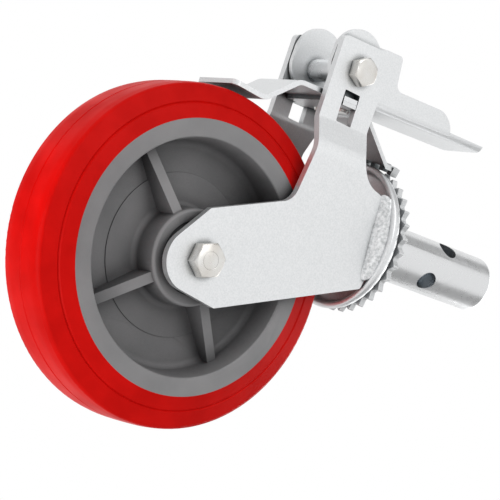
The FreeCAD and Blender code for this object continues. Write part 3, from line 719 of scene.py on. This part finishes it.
@dataclass(frozen=True)
class ScrewEnd(NodeForm):
    """The threaded end of a bolt: a rolled thread with its crests flattened, and a chamfered tip.

    The depth is a share of the pitch. Across a thread, from the middle of its crest at 0 to the
    middle of its root at 0.5, the flank runs from crest_edge to root_edge.
    """

    radius_mm: float
    pitch_mm: float
    length_mm: float
    chamfer_mm: float = 1.2
    depth_share: float = 0.61
    crest_edge: float = 0.08
    root_edge: float = 0.44
    rows_per_turn: int = 12
    sides: int = 48

    def sizes(self) -> dict[str, float | int]:
        """Return the thread's radius, pitch, depth and length, the tip's chamfer and the rows."""
        return {"Radius": self.radius_mm * MM, "Pitch": self.pitch_mm * MM,
                "Depth": self.pitch_mm * self.depth_share * MM, "Length": self.length_mm * MM,
                "Chamfer": self.chamfer_mm * MM,
                "Rows": int(self.length_mm / self.pitch_mm * self.rows_per_turn)}

    def tree(self, finish: Finish) -> bpy.types.NodeTree:
        """Make a cylinder whose radius follows the thread round and along it.

        Args:
            finish: The finish that the tree sets.

        Returns:
            The tree.
        """
        tree, given = self.new_tree("screw_end")
        rod = add_node(tree, "GeometryNodeMeshCylinder",
                       {"Vertices": self.sides, "Side Segments": given["Rows"],
                        "Radius": given["Radius"], "Depth": given["Length"]}, fill_type="NGON")
        place = add_node(tree, "GeometryNodeInputPosition")
        x, y, z = add_node(tree, "ShaderNodeSeparateXYZ", {0: place}).outputs

        # How far a point is across the thread, from crest to root.
        angle = add_node(tree, "ShaderNodeMath", {0: y, 1: x}, operation="ARCTAN2")
        turn = add_node(tree, "ShaderNodeMath", {0: angle, 1: math.tau}, operation="DIVIDE")
        rise = add_node(tree, "ShaderNodeMath", {0: z, 1: given["Pitch"]}, operation="DIVIDE")
        phase = add_node(tree, "ShaderNodeMath", {0: rise, 1: turn}, operation="SUBTRACT")
        step = add_node(tree, "ShaderNodeMath", {0: phase, 1: 0.5}, operation="PINGPONG")
        flank = add_node(tree, "ShaderNodeMapRange",
                         {"Value": step, "From Min": self.crest_edge, "From Max": self.root_edge,
                          "To Min": 0.0, "To Max": given["Depth"]})
        thread = add_node(tree, "ShaderNodeMath", {0: given["Radius"], 1: flank},
                          operation="SUBTRACT")

        # The cone of the tip's chamfer.
        half = add_node(tree, "ShaderNodeMath", {0: given["Length"], 1: 2.0}, operation="DIVIDE")
        to_tip = add_node(tree, "ShaderNodeMath", {0: half, 1: z}, operation="SUBTRACT")
        tip = add_node(tree, "ShaderNodeMath", {0: given["Radius"], 1: given["Chamfer"]},
                       operation="SUBTRACT")
        cone = add_node(tree, "ShaderNodeMath", {0: tip, 1: to_tip}, operation="ADD")

        wanted = add_node(tree, "ShaderNodeMath", {0: thread, 1: cone}, operation="MINIMUM")
        share = add_node(tree, "ShaderNodeMath", {0: wanted, 1: given["Radius"]},
                         operation="DIVIDE")
        drawn_x = add_node(tree, "ShaderNodeMath", {0: x, 1: share}, operation="MULTIPLY")
        drawn_y = add_node(tree, "ShaderNodeMath", {0: y, 1: share}, operation="MULTIPLY")
        drawn = add_node(tree, "ShaderNodeCombineXYZ", {"X": drawn_x, "Y": drawn_y, "Z": z})
        cut = add_node(tree, "GeometryNodeSetPosition", {"Geometry": rod, "Position": drawn})
        return self.close_tree(tree, cut, finish)


@dataclass(frozen=True)
class WeldBead(NodeForm):
    """A weld run by hand: overlapping ripples along a path, rounded ends and uneven sides.

    The path is the middle of the bead on the castor's +Y side, as (x, y, z) points. The section is
    an oval, tilted in degrees, and the taper is what the girth loses from the middle to the ends.
    """

    path_mm: tuple[tuple[float, float, float], ...]
    radius_mm: float = 6.6
    flatness: float = 0.5
    tilt: float = 32.0
    taper: float = 0.4
    ripple_mm: float = 1.9
    ripple_share: float = 0.06
    lump_mm: float = 3.4
    lump_height_mm: float = 0.9
    steps: int = 220
    sides: int = 28

    def sizes(self) -> dict[str, float | int]:
        """Return the bead's section, its taper, its ripples and its lumps."""
        return {"Radius": self.radius_mm * MM, "Flatness": self.flatness,
                "Tilt": math.radians(self.tilt), "Taper": self.taper,
                "Ripple": self.ripple_mm * MM, "Ripple share": self.ripple_share,
                "Lump scale": per_metre(self.lump_mm), "Lump height": self.lump_height_mm * MM}

    def seed(self) -> bpy.types.Mesh:
        """Make the path as a chain of edges.

        Returns:
            The chain's mesh.
        """
        mesh = bpy.data.meshes.new("weld_path")
        points = [tuple(value * MM for value in point) for point in self.path_mm]
        mesh.from_pydata(points, [(index, index + 1) for index in range(len(points) - 1)], [])
        return mesh

    def tree(self, finish: Finish) -> bpy.types.NodeTree:
        """Sweep an oval section along the smoothed path, and swell it by ripples and lumps.

        Args:
            finish: The finish that the tree sets.

        Returns:
            The tree.
        """
        tree, given = self.new_tree("weld_bead")
        chain = add_node(tree, "GeometryNodeMeshToCurve", {"Mesh": given["Geometry"]})
        smooth = add_node(tree, "GeometryNodeCurveSplineType", {"Curve": chain},
                          spline_type="CATMULL_ROM")
        fine = add_node(tree, "GeometryNodeResampleCurve", {"Curve": smooth, "Count": self.steps})
        level = add_node(tree, "GeometryNodeSetCurveNormal", {"Curve": fine}, mode="Z_UP")
        along = add_node(tree, "GeometryNodeSplineParameter")
        length = along.outputs["Length"]
        total = add_node(tree, "GeometryNodeSplineLength")

        # The domed ends.
        left = add_node(tree, "ShaderNodeMath", {0: total, 1: length}, operation="SUBTRACT")
        to_end = add_node(tree, "ShaderNodeMath", {0: length, 1: left}, operation="MINIMUM")
        radii = add_node(tree, "ShaderNodeMath", {0: to_end, 1: given["Radius"]},
                         operation="DIVIDE")
        near = add_node(tree, "ShaderNodeMath", {0: radii, 1: 1.0}, operation="MINIMUM")
        far = add_node(tree, "ShaderNodeMath", {0: 2.0, 1: near}, operation="SUBTRACT")
        square = add_node(tree, "ShaderNodeMath", {0: near, 1: far}, operation="MULTIPLY")
        dome = add_node(tree, "ShaderNodeMath", {0: square}, operation="SQRT")

        # The ripples, and the taper towards both ends.
        count = add_node(tree, "ShaderNodeMath", {0: length, 1: given["Ripple"]},
                         operation="DIVIDE")
        wave = add_node(tree, "ShaderNodeMath", {0: count, 1: 0.5}, operation="PINGPONG")
        swell = add_node(tree, "ShaderNodeMath", {0: wave, 1: given["Ripple share"], 2: 1.0},
                         operation="MULTIPLY_ADD")
        off_middle = add_node(tree, "ShaderNodeMath",
                              {0: along.outputs["Factor"], 1: 2.0, 2: -1.0},
                              operation="MULTIPLY_ADD")
        off_square = add_node(tree, "ShaderNodeMath", {0: off_middle, 1: off_middle},
                              operation="MULTIPLY")
        lost = add_node(tree, "ShaderNodeMath", {0: off_square, 1: given["Taper"]},
                        operation="MULTIPLY")
        full = add_node(tree, "ShaderNodeMath", {0: swell, 1: lost}, operation="SUBTRACT")
        girth = add_node(tree, "ShaderNodeMath", {0: dome, 1: full}, operation="MULTIPLY")

        # The oval section and its sweep.
        circle = add_node(tree, "GeometryNodeCurvePrimitiveCircle",
                          {"Resolution": self.sides, "Radius": given["Radius"]})
        turn = add_node(tree, "ShaderNodeCombineXYZ", {"Z": given["Tilt"]})
        squash = add_node(tree, "ShaderNodeCombineXYZ", {"X": 1.0, "Y": given["Flatness"], "Z": 1.0})
        oval = add_node(tree, "GeometryNodeTransform",
                        {"Geometry": circle, "Rotation": turn, "Scale": squash})
        tube = add_node(tree, "GeometryNodeCurveToMesh",
                        {"Curve": level, "Profile Curve": oval, "Scale": girth, "Fill Caps": True})

        # The lumps.
        noise = add_node(tree, "ShaderNodeTexNoise", {"Scale": given["Lump scale"], "Detail": 1.0})
        above = add_node(tree, "ShaderNodeMath", {0: noise.outputs["Fac"], 1: 0.5},
                         operation="SUBTRACT")
        raised = add_node(tree, "ShaderNodeMath", {0: above, 1: given["Lump height"]},
                          operation="MULTIPLY")
        facing = add_node(tree, "GeometryNodeInputNormal")
        offset = add_node(tree, "ShaderNodeVectorMath", {0: facing, "Scale": raised},
                          operation="SCALE")
        rough = add_node(tree, "GeometryNodeSetPosition", {"Geometry": tube, "Offset": offset})
        return self.close_tree(tree, rough, finish)


@dataclass(frozen=True)
class TurnedMark(NodeForm):
    """The plain raised circle that is turned on the face of a bolt's head."""

    radius_mm: float
    line_mm: float = 0.22
    steps: int = 64
    sides: int = 8

    def sizes(self) -> dict[str, float | int]:
        """Return the circle's radius and the thickness of its line."""
        return {"Radius": self.radius_mm * MM, "Line": self.line_mm * MM}

    def tree(self, finish: Finish) -> bpy.types.NodeTree:
        """Sweep a small round section round a circle.

        Args:
            finish: The finish that the tree sets.

        Returns:
            The tree.
        """
        tree, given = self.new_tree("turned_mark")
        circle = add_node(tree, "GeometryNodeCurvePrimitiveCircle",
                          {"Resolution": self.steps, "Radius": given["Radius"]})
        section = add_node(tree, "GeometryNodeCurvePrimitiveCircle",
                           {"Resolution": self.sides, "Radius": given["Line"]})
        ring = add_node(tree, "GeometryNodeCurveToMesh",
                        {"Curve": circle, "Profile Curve": section})
        return self.close_tree(tree, ring, finish)


def flatten(piece: bpy.types.Object) -> None:
    """Turn a piece with modifiers into its plain evaluated mesh.

    Args:
        piece: The piece, changed in place.
    """
    bpy.context.view_layer.update()
    graph = bpy.context.evaluated_depsgraph_get()
    mesh = bpy.data.meshes.new_from_object(piece.evaluated_get(graph), depsgraph=graph)
    piece.modifiers.clear()
    piece.data = mesh


@dataclass(frozen=True)
class Rounding:
    """How the edges of a cut, pressed or turned piece are broken."""

    width_mm: float
    segments: int = 2
    sharp_angle: float = 32.0
    flat_angle: float = 0.6

    def mesh_of(self, node: str, end: tuple[Vector, Vector] | None = None) -> bpy.types.Mesh:
        """Copy a CAD node's mesh, with its loose triangles joined and its flat faces whole.

        Args:
            node: Name of the CAD node.
            end: A point and a direction past which the copy is cut off and closed, or none.

        Returns:
            The copy.
        """
        mesh = frame["nodes"][node].data.copy()
        shape = bmesh.new()
        shape.from_mesh(mesh)
        bmesh.ops.remove_doubles(shape, verts=shape.verts, dist=SAME_CORNER)
        if end is not None:
            cut = bmesh.ops.bisect_plane(shape, geom=shape.verts[:] + shape.edges[:] + shape.faces[:],
                                         plane_co=end[0], plane_no=end[1], clear_outer=True)
            rim = [part for part in cut["geom_cut"] if isinstance(part, bmesh.types.BMEdge)]
            bmesh.ops.edgeloop_fill(shape, edges=rim)
        bmesh.ops.dissolve_limit(shape, angle_limit=math.radians(self.flat_angle), verts=shape.verts,
                                 edges=shape.edges)
        shape.to_mesh(mesh)
        shape.free()
        return mesh

    def piece(self, node: str, body: Body, finish: Finish,
              end: tuple[Vector, Vector] | None = None) -> bpy.types.Object:
        """Make the piece that shows a CAD node with its edges rounded.

        Args:
            node: Name of the CAD node, whose place and shape the piece takes.
            body: The body that carries it.
            finish: Its finish.
            end: A point and a direction past which another piece takes over, or none.

        Returns:
            The piece, which replaces the node.
        """
        mesh = self.mesh_of(node, end)
        mesh.shade_smooth()
        mesh.set_sharp_from_angle(angle=math.radians(self.sharp_angle))
        piece = new_piece(node + "_rounded", mesh, finish)
        bevel = piece.modifiers.new("edges", "BEVEL")
        bevel.width = self.width_mm * MM
        bevel.segments = self.segments
        bevel.limit_method = "ANGLE"
        bevel.angle_limit = math.radians(self.sharp_angle)
        bevel.harden_normals = True
        flatten(piece)
        return settle(piece, body, finish, node)


@dataclass
class CrossBolt:
    """A hexagon bolt through the fork, with its nut, washer, thread and head mark.

    The thread starts sunk_mm inside the nut. A mark_mm of zero leaves the head bare.
    """

    name: str
    pivot: Pivot
    radius_mm: float
    pitch_mm: float
    mark_mm: float = 0.0
    sunk_mm: float = 1.0
    edge: Rounding = Rounding(0.2)

    def build(self) -> None:
        """Build the bolt's plain part, its threaded end and its head mark, and dress the nut."""
        centre = self.pivot.place()
        low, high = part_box(self.name + "_bolt")
        _, nut_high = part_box(self.name + "_nut")
        start = nut_high[1] - self.sunk_mm * MM
        self.edge.piece(self.name + "_bolt", Body.FORK, BOLT,
                        end=(Vector((0.0, start, 0.0)), Vector((0.0, 1.0, 0.0))))
        length = high[1] - start
        thread = ScrewEnd(self.radius_mm, self.pitch_mm, length / MM)
        along_y = Matrix.Rotation(math.radians(-90), 4, "X")
        middle = Matrix.Translation((centre.x, start + length / 2, centre.z))
        settle(new_piece(self.name + "_bolt_thread", thread.mesh(BOLT, middle @ along_y), BOLT),
               Body.FORK, BOLT)
        if self.mark_mm > 0:
            face = Matrix.Translation((centre.x, low[1], centre.z))
            mark = TurnedMark(self.mark_mm)
            settle(new_piece(self.name + "_bolt_mark", mark.mesh(BOLT, face @ along_y), BOLT),
                   Body.FORK, BOLT)
        self.edge.piece(self.name + "_nut", Body.FORK, BOLT)
        self.edge.piece(self.name + "_washer", Body.FORK, BOLT)


@dataclass
class WheelSet:
    """The wheel: its red tyre, the moulded centre and the bearings."""

    edge: Rounding = Rounding(0.6)
    ball_mm: float = 3.0
    pitch_mm: float = 12.5
    balls: int = 7

    def build(self) -> None:
        """Dress the tyre and the centre, and build the bearings' balls."""
        keep_cad(RED_TREAD, "tyre")
        self.edge.piece("wheel_core", Body.WHEEL, GREY_CORE)
        keep_cad(RACE, "bearing_outer_rings", "bearing_inner_rings")
        centre = Pivot.WHEEL.place()
        low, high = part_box("bearing_balls")
        along_y = Matrix.Rotation(math.radians(90), 4, "X")
        ring = BallRing(self.balls, self.pitch_mm, self.ball_mm)
        shape = bmesh.new()
        for y in (low[1] + self.ball_mm * MM, high[1] - self.ball_mm * MM):
            shape.from_mesh(ring.mesh(RACE, Matrix.Translation((centre.x, y, centre.z)) @ along_y))
        mesh = bpy.data.meshes.new("bearing_balls_ground")
        shape.to_mesh(mesh)
        shape.free()
        settle(new_piece("bearing_balls_ground", mesh, RACE), Body.FORK, RACE, "bearing_balls")


@dataclass
class SwivelHead:
    """The stem with its toothed ring, and the races, nut and balls that carry the fork."""

    edge: Rounding = Rounding(0.5)
    tooth: Rounding = Rounding(0.9, 3)
    ball_mm: float = 3.2
    upper_balls: int = 18
    upper_pitch_mm: float = 27.0
    lower_balls: int = 12
    lower_pitch_mm: float = 19.5
    kingpin_mm: float = 8.0
    kingpin_pitch_mm: float = 2.0
    sunk_mm: float = 1.0

    def build(self) -> None:
        """Build the stem with its threaded kingpin, the ring and the swivel bearing."""
        nut_low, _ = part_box("kingpin_nut")
        start = nut_low[2] + self.sunk_mm * MM
        self.edge.piece("stem", Body.STEM, BAR,
                        end=(Vector((0.0, 0.0, start)), Vector((0.0, 0.0, -1.0))))
        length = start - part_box("stem")[0][2]
        thread = ScrewEnd(self.kingpin_mm, self.kingpin_pitch_mm, length / MM)
        down = Matrix.Translation((0.0, 0.0, start - length / 2)) @ Matrix.Rotation(math.pi, 4, "X")
        settle(new_piece("kingpin_thread", thread.mesh(BOLT, down), BOLT), Body.STEM, BOLT)
        self.tooth.piece("lock_ring", Body.STEM, TOOTHED)
        self.add_balls("upper_balls", self.upper_balls, self.upper_pitch_mm)
        self.add_balls("lower_balls", self.lower_balls, self.lower_pitch_mm)
        keep_cad(RACE, "lower_race")
        self.edge.piece("kingpin_nut", Body.STEM, BOLT)
        self.edge.piece("kingpin_washer", Body.STEM, BOLT)

    def add_balls(self, node: str, count: int, pitch_mm: float) -> None:
        """Build one ring of swivel balls.

        Args:
            node: The CAD node that the ring stands for.
            count: Number of balls.
            pitch_mm: Radius of the ring.
        """
        low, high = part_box(node)
        level = Matrix.Translation((0.0, 0.0, (low[2] + high[2]) / 2))
        mesh = BallRing(count, pitch_mm, self.ball_mm).mesh(RACE, level)
        settle(new_piece(node + "_ground", mesh, RACE), Body.FORK, RACE, node)


@dataclass
class Fork:
    """The crown dish, the two legs, their welds and the axle."""

    edge: Rounding = Rounding(0.5)
    rim: Rounding = Rounding(1.7, 4)
    axle: CrossBolt = field(default_factory=lambda: CrossBolt("axle", Pivot.WHEEL, 6.0, 1.75, 5.2))
    weld: WeldBead = WeldBead(((-26.2, 33.0, -19.8), (-23.6, 33.6, -17.0), (-20.0, 34.4, -15.8),
                               (-5.0, 36.5, -15.2), (6.0, 36.5, -15.1), (14.0, 35.8, -15.4),
                               (22.0, 34.2, -16.6), (26.0, 33.2, -17.8)))

    def build(self) -> None:
        """Dress the crown and legs, and build the welds and the axle's bolt."""
        self.rim.piece("fork_crown", Body.FORK, DISHED)
        for node in ("fork_leg_front", "fork_leg_back"):
            self.edge.piece(node, Body.FORK, SHEET)
        for name, side in (("back", 1.0), ("front", -1.0)):
            mesh = self.weld.mesh(WELD, Matrix.Diagonal((1.0, side, 1.0, 1.0)))
            settle(new_piece("weld_bead_" + name, mesh, WELD), Body.FORK, WELD, "leg_weld_" + name)
        self.axle.build()
        keep_cad(BAR, "axle_sleeve", "axle_collars", "hub_spacer")


@dataclass
class Brake:
    """The pedal lever on its bolt, the brake leaf and the plate that locks the swivel."""

    edge: Rounding = Rounding(0.5)
    bolt: CrossBolt = field(default_factory=lambda: CrossBolt("lever", Pivot.PEDAL, 5.0, 1.5))

    def build(self) -> None:
        """Dress the lever and the two plates, and build the lever's bolt."""
        self.edge.piece("brake_lever", Body.LEVER, SHEET)
        self.edge.piece("brake_shoe", Body.PLATES, SHEET)
        self.edge.piece("swivel_lock_plate", Body.PLATES, SHADED)
        keep_cad(BOLT, "plate_rivets")
        self.bolt.build()
        keep_cad(BAR, "lever_sleeve")


def flat_card(name: str, width: float, tall: float, level: float = 0.0) -> bpy.types.Mesh:
    """Make a flat rectangle round the origin, facing up.

    Args:
        name: Name of the mesh.
        width: Its width in metres.
        tall: Its other side in metres.
        level: Its height in metres.

    Returns:
        The mesh, with one face.
    """
    mesh = bpy.data.meshes.new(name)
    corners = [(across * width / 2, along * tall / 2, level)
               for across, along in ((-1, -1), (1, -1), (1, 1), (-1, 1))]
    mesh.from_pydata(corners, [], [(0, 1, 2, 3)])
    return mesh


@dataclass(frozen=True)
class Softbox:
    """A square softbox that faces the castor.

    It stands to the right of the aim, above it and in front of it as the camera sees it, in metres.
    """

    name: str
    right: float
    above: float
    front: float
    size: float
    watts: float


@dataclass(frozen=True)
class Flag:
    """A grey card that only reflections see, so that round metal shows dark bands.

    It stands distance metres from the aim, at a bearing from the camera and a height above the
    horizon that are both in degrees. Its brightness is that of the world's white at 1.
    """

    name: str
    bearing: float
    height: float
    width: float
    tall: float
    brightness: float
    distance: float = 1.6


@dataclass
class Studio:
    """The photographer's set: a pale floor, soft lamps, grey cards, a white surround and the camera.

    The camera and its aim are in millimetres of the frame, and angles are in degrees. floor_glow is
    the share of the floor that shines white to the camera and in reflections, so that the ground
    stays pale from above and its shadow is kept.
    """

    camera_place: tuple[float, float, float] = (143.3, -967.4, -816.7)
    aim: tuple[float, float, float] = (0.0, 0.0, -60.0)
    azimuth: float = 6.8
    elevation: float = -37.14
    roll: float = 109.8
    lens: float = 148.1
    sensor: float = 36.0
    sight: float = 20.0
    floor_size: float = 6.0
    floor_colour: str = "#EDEDED"
    floor_roughness: float = 0.9
    floor_glow: float = 0.5
    ambient: float = 0.34
    lamps: tuple[Softbox, ...] = (
        Softbox("key_softbox", 0.95, 0.8, 1.0, 1.5, 9.5),
        Softbox("left_softbox", -1.05, -0.35, 0.9, 1.2, 15.5),
        Softbox("overhead_softbox", -0.6, 1.25, 0.2, 1.2, 4.0),
        Softbox("ceiling_softbox", 0.75, -0.52, -1.07, 1.2, 7.0),
    )
    flags: tuple[Flag, ...] = (
        Flag("dark_card_lead", -88.0, 37.0, 0.8, 1.8, 0.45),
        Flag("grey_card_trail", 82.0, 37.0, 1.7, 1.8, 0.40),
    )

    def build(self) -> None:
        """Set up the camera, the world, the lamps and the floor."""
        scene = bpy.context.scene
        scene.view_settings.view_transform = "Standard"
        self.add_camera(scene)
        self.add_surround(scene)
        self.add_floor()
        for lamp in self.lamps:
            self.add_lamp(lamp)
        for flag in self.flags:
            self.add_flag(flag)

    def view_axes(self) -> Matrix:
        """Work out the camera's turn from its azimuth, elevation and roll.

        Returns:
            A matrix whose columns are the camera's right, up and back.
        """
        azimuth = math.radians(self.azimuth)
        elevation = math.radians(self.elevation)
        roll = math.radians(self.roll)
        back = Vector((math.sin(azimuth) * math.cos(elevation),
                       -math.cos(azimuth) * math.cos(elevation), math.sin(elevation)))
        level = Vector((math.cos(azimuth), math.sin(azimuth), 0.0))
        upright = back.cross(level)
        right = level * math.cos(roll) + upright * math.sin(roll)
        return Matrix((right, back.cross(right), back)).transposed()

    def add_camera(self, scene: bpy.types.Scene) -> None:
        """Add the camera that the photograph was taken with.

        Args:
            scene: The scene that gets it.
        """
        data = bpy.data.cameras.new("photo_camera")
        data.lens = self.lens
        data.sensor_width = self.sensor
        data.clip_end = self.sight
        camera = bpy.data.objects.new("photo_camera", data)
        place = Matrix.Translation(Vector(self.camera_place) * MM)
        camera.matrix_world = place @ self.view_axes().to_4x4()
        scene.collection.objects.link(camera)
        scene.camera = camera

    def add_surround(self, scene: bpy.types.Scene) -> None:
        """Light all round evenly, and show plain white to the camera and in reflections.

        Args:
            scene: The scene whose world is set.
        """
        world = bpy.data.worlds.new("studio_surround")
        world.use_nodes = True
        tree = world.node_tree
        tree.nodes.clear()
        path = add_node(tree, "ShaderNodeLightPath")
        seen = path.outputs["Is Camera Ray"]
        for ray in ("Is Glossy Ray", "Is Transmission Ray"):
            seen = add_node(tree, "ShaderNodeMath", {0: seen, 1: path.outputs[ray]},
                            operation="MAXIMUM")
        light = add_node(tree, "ShaderNodeBackground",
                         {"Color": linear("#FFFFFF"), "Strength": self.ambient})
        white = add_node(tree, "ShaderNodeBackground",
                         {"Color": linear("#FFFFFF"), "Strength": 1.0})
        mixed = add_node(tree, "ShaderNodeMixShader", {0: seen, 1: light, 2: white})
        add_node(tree, "ShaderNodeOutputWorld", {"Surface": mixed})
        scene.world = world

    def add_floor(self) -> None:
        """Add the floor under the wheel. From below it is clear, because the photograph looks up."""
        low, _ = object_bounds()
        mesh = flat_card("studio_floor", self.floor_size, self.floor_size, low[2])
        floor = bpy.data.objects.new("studio_floor", mesh)
        bpy.context.scene.collection.objects.link(floor)
        material = bpy.data.materials.new("studio_floor_card")
        material.use_nodes = True
        tree = material.node_tree
        shader = tree.nodes["Principled BSDF"]
        shader.inputs["Base Color"].default_value = linear(self.floor_colour)
        shader.inputs["Roughness"].default_value = self.floor_roughness
        side = add_node(tree, "ShaderNodeNewGeometry")
        path = add_node(tree, "ShaderNodeLightPath")
        hidden = add_node(tree, "ShaderNodeMath",
                          {0: side.outputs["Backfacing"], 1: path.outputs["Is Shadow Ray"]},
                          operation="MAXIMUM")
        clear = add_node(tree, "ShaderNodeBsdfTransparent")
        bright = add_node(tree, "ShaderNodeEmission", {"Color": linear("#FFFFFF"), "Strength": 1.0})
        seen = add_node(tree, "ShaderNodeMath",
                        {0: path.outputs["Is Camera Ray"], 1: path.outputs["Is Glossy Ray"]},
                        operation="MAXIMUM")
        share = add_node(tree, "ShaderNodeMath", {0: seen, 1: self.floor_glow},
                         operation="MULTIPLY")
        card = add_node(tree, "ShaderNodeMixShader", {0: share, 1: shader, 2: bright})
        mixed = add_node(tree, "ShaderNodeMixShader", {0: hidden, 1: card, 2: clear})
        output = tree.nodes["Material Output"]
        tree.links.new(mixed.outputs[0], output.inputs["Surface"])
        mesh.materials.append(material)
        floor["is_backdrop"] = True

    def add_lamp(self, box: Softbox) -> None:
        """Add one softbox that faces the castor.

        Args:
            box: The softbox.
        """
        data = bpy.data.lights.new(box.name, "AREA")
        data.size = box.size
        data.energy = box.watts
        lamp = bpy.data.objects.new(box.name, data)
        middle = Vector(self.aim) * MM
        away = self.view_axes() @ Vector((box.right, box.above, box.front))
        turn = (-away).to_track_quat("-Z", "Y").to_matrix().to_4x4()
        lamp.matrix_world = Matrix.Translation(middle + away) @ turn
        bpy.context.scene.collection.objects.link(lamp)

    def add_flag(self, flag: Flag) -> None:
        """Add one grey card, seen by reflections alone.

        Args:
            flag: The card.
        """
        bearing = math.radians(self.azimuth - 90.0 + flag.bearing)
        height = math.radians(flag.height)
        away = Vector((math.cos(bearing) * math.cos(height), math.sin(bearing) * math.cos(height),
                       math.sin(height)))
        mesh = flat_card(flag.name, flag.width, flag.tall)
        material = bpy.data.materials.new(flag.name)
        material.use_nodes = True
        tree = material.node_tree
        tree.nodes.clear()
        glow = add_node(tree, "ShaderNodeEmission", {"Strength": flag.brightness})
        add_node(tree, "ShaderNodeOutputMaterial", {"Surface": glow})
        mesh.materials.append(material)
        card = bpy.data.objects.new(flag.name, mesh)
        card.matrix_world = (Matrix.Translation(away * flag.distance + Vector(self.aim) * MM)
                             @ away.to_track_quat("Z", "Y").to_matrix().to_4x4())
        card.visible_camera = False
        card.visible_diffuse = False
        card.visible_shadow = False
        bpy.context.scene.collection.objects.link(card)
        card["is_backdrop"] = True


def main() -> None:
    """Build the castor's looks and its studio, and report each piece."""
    logging.basicConfig(level=logging.INFO, format="%(name)s: %(message)s")
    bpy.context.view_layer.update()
    for assembly in (WheelSet(), SwivelHead(), Fork(), Brake(), Studio()):
        assembly.build()


if __name__ == "__main__":
    main()
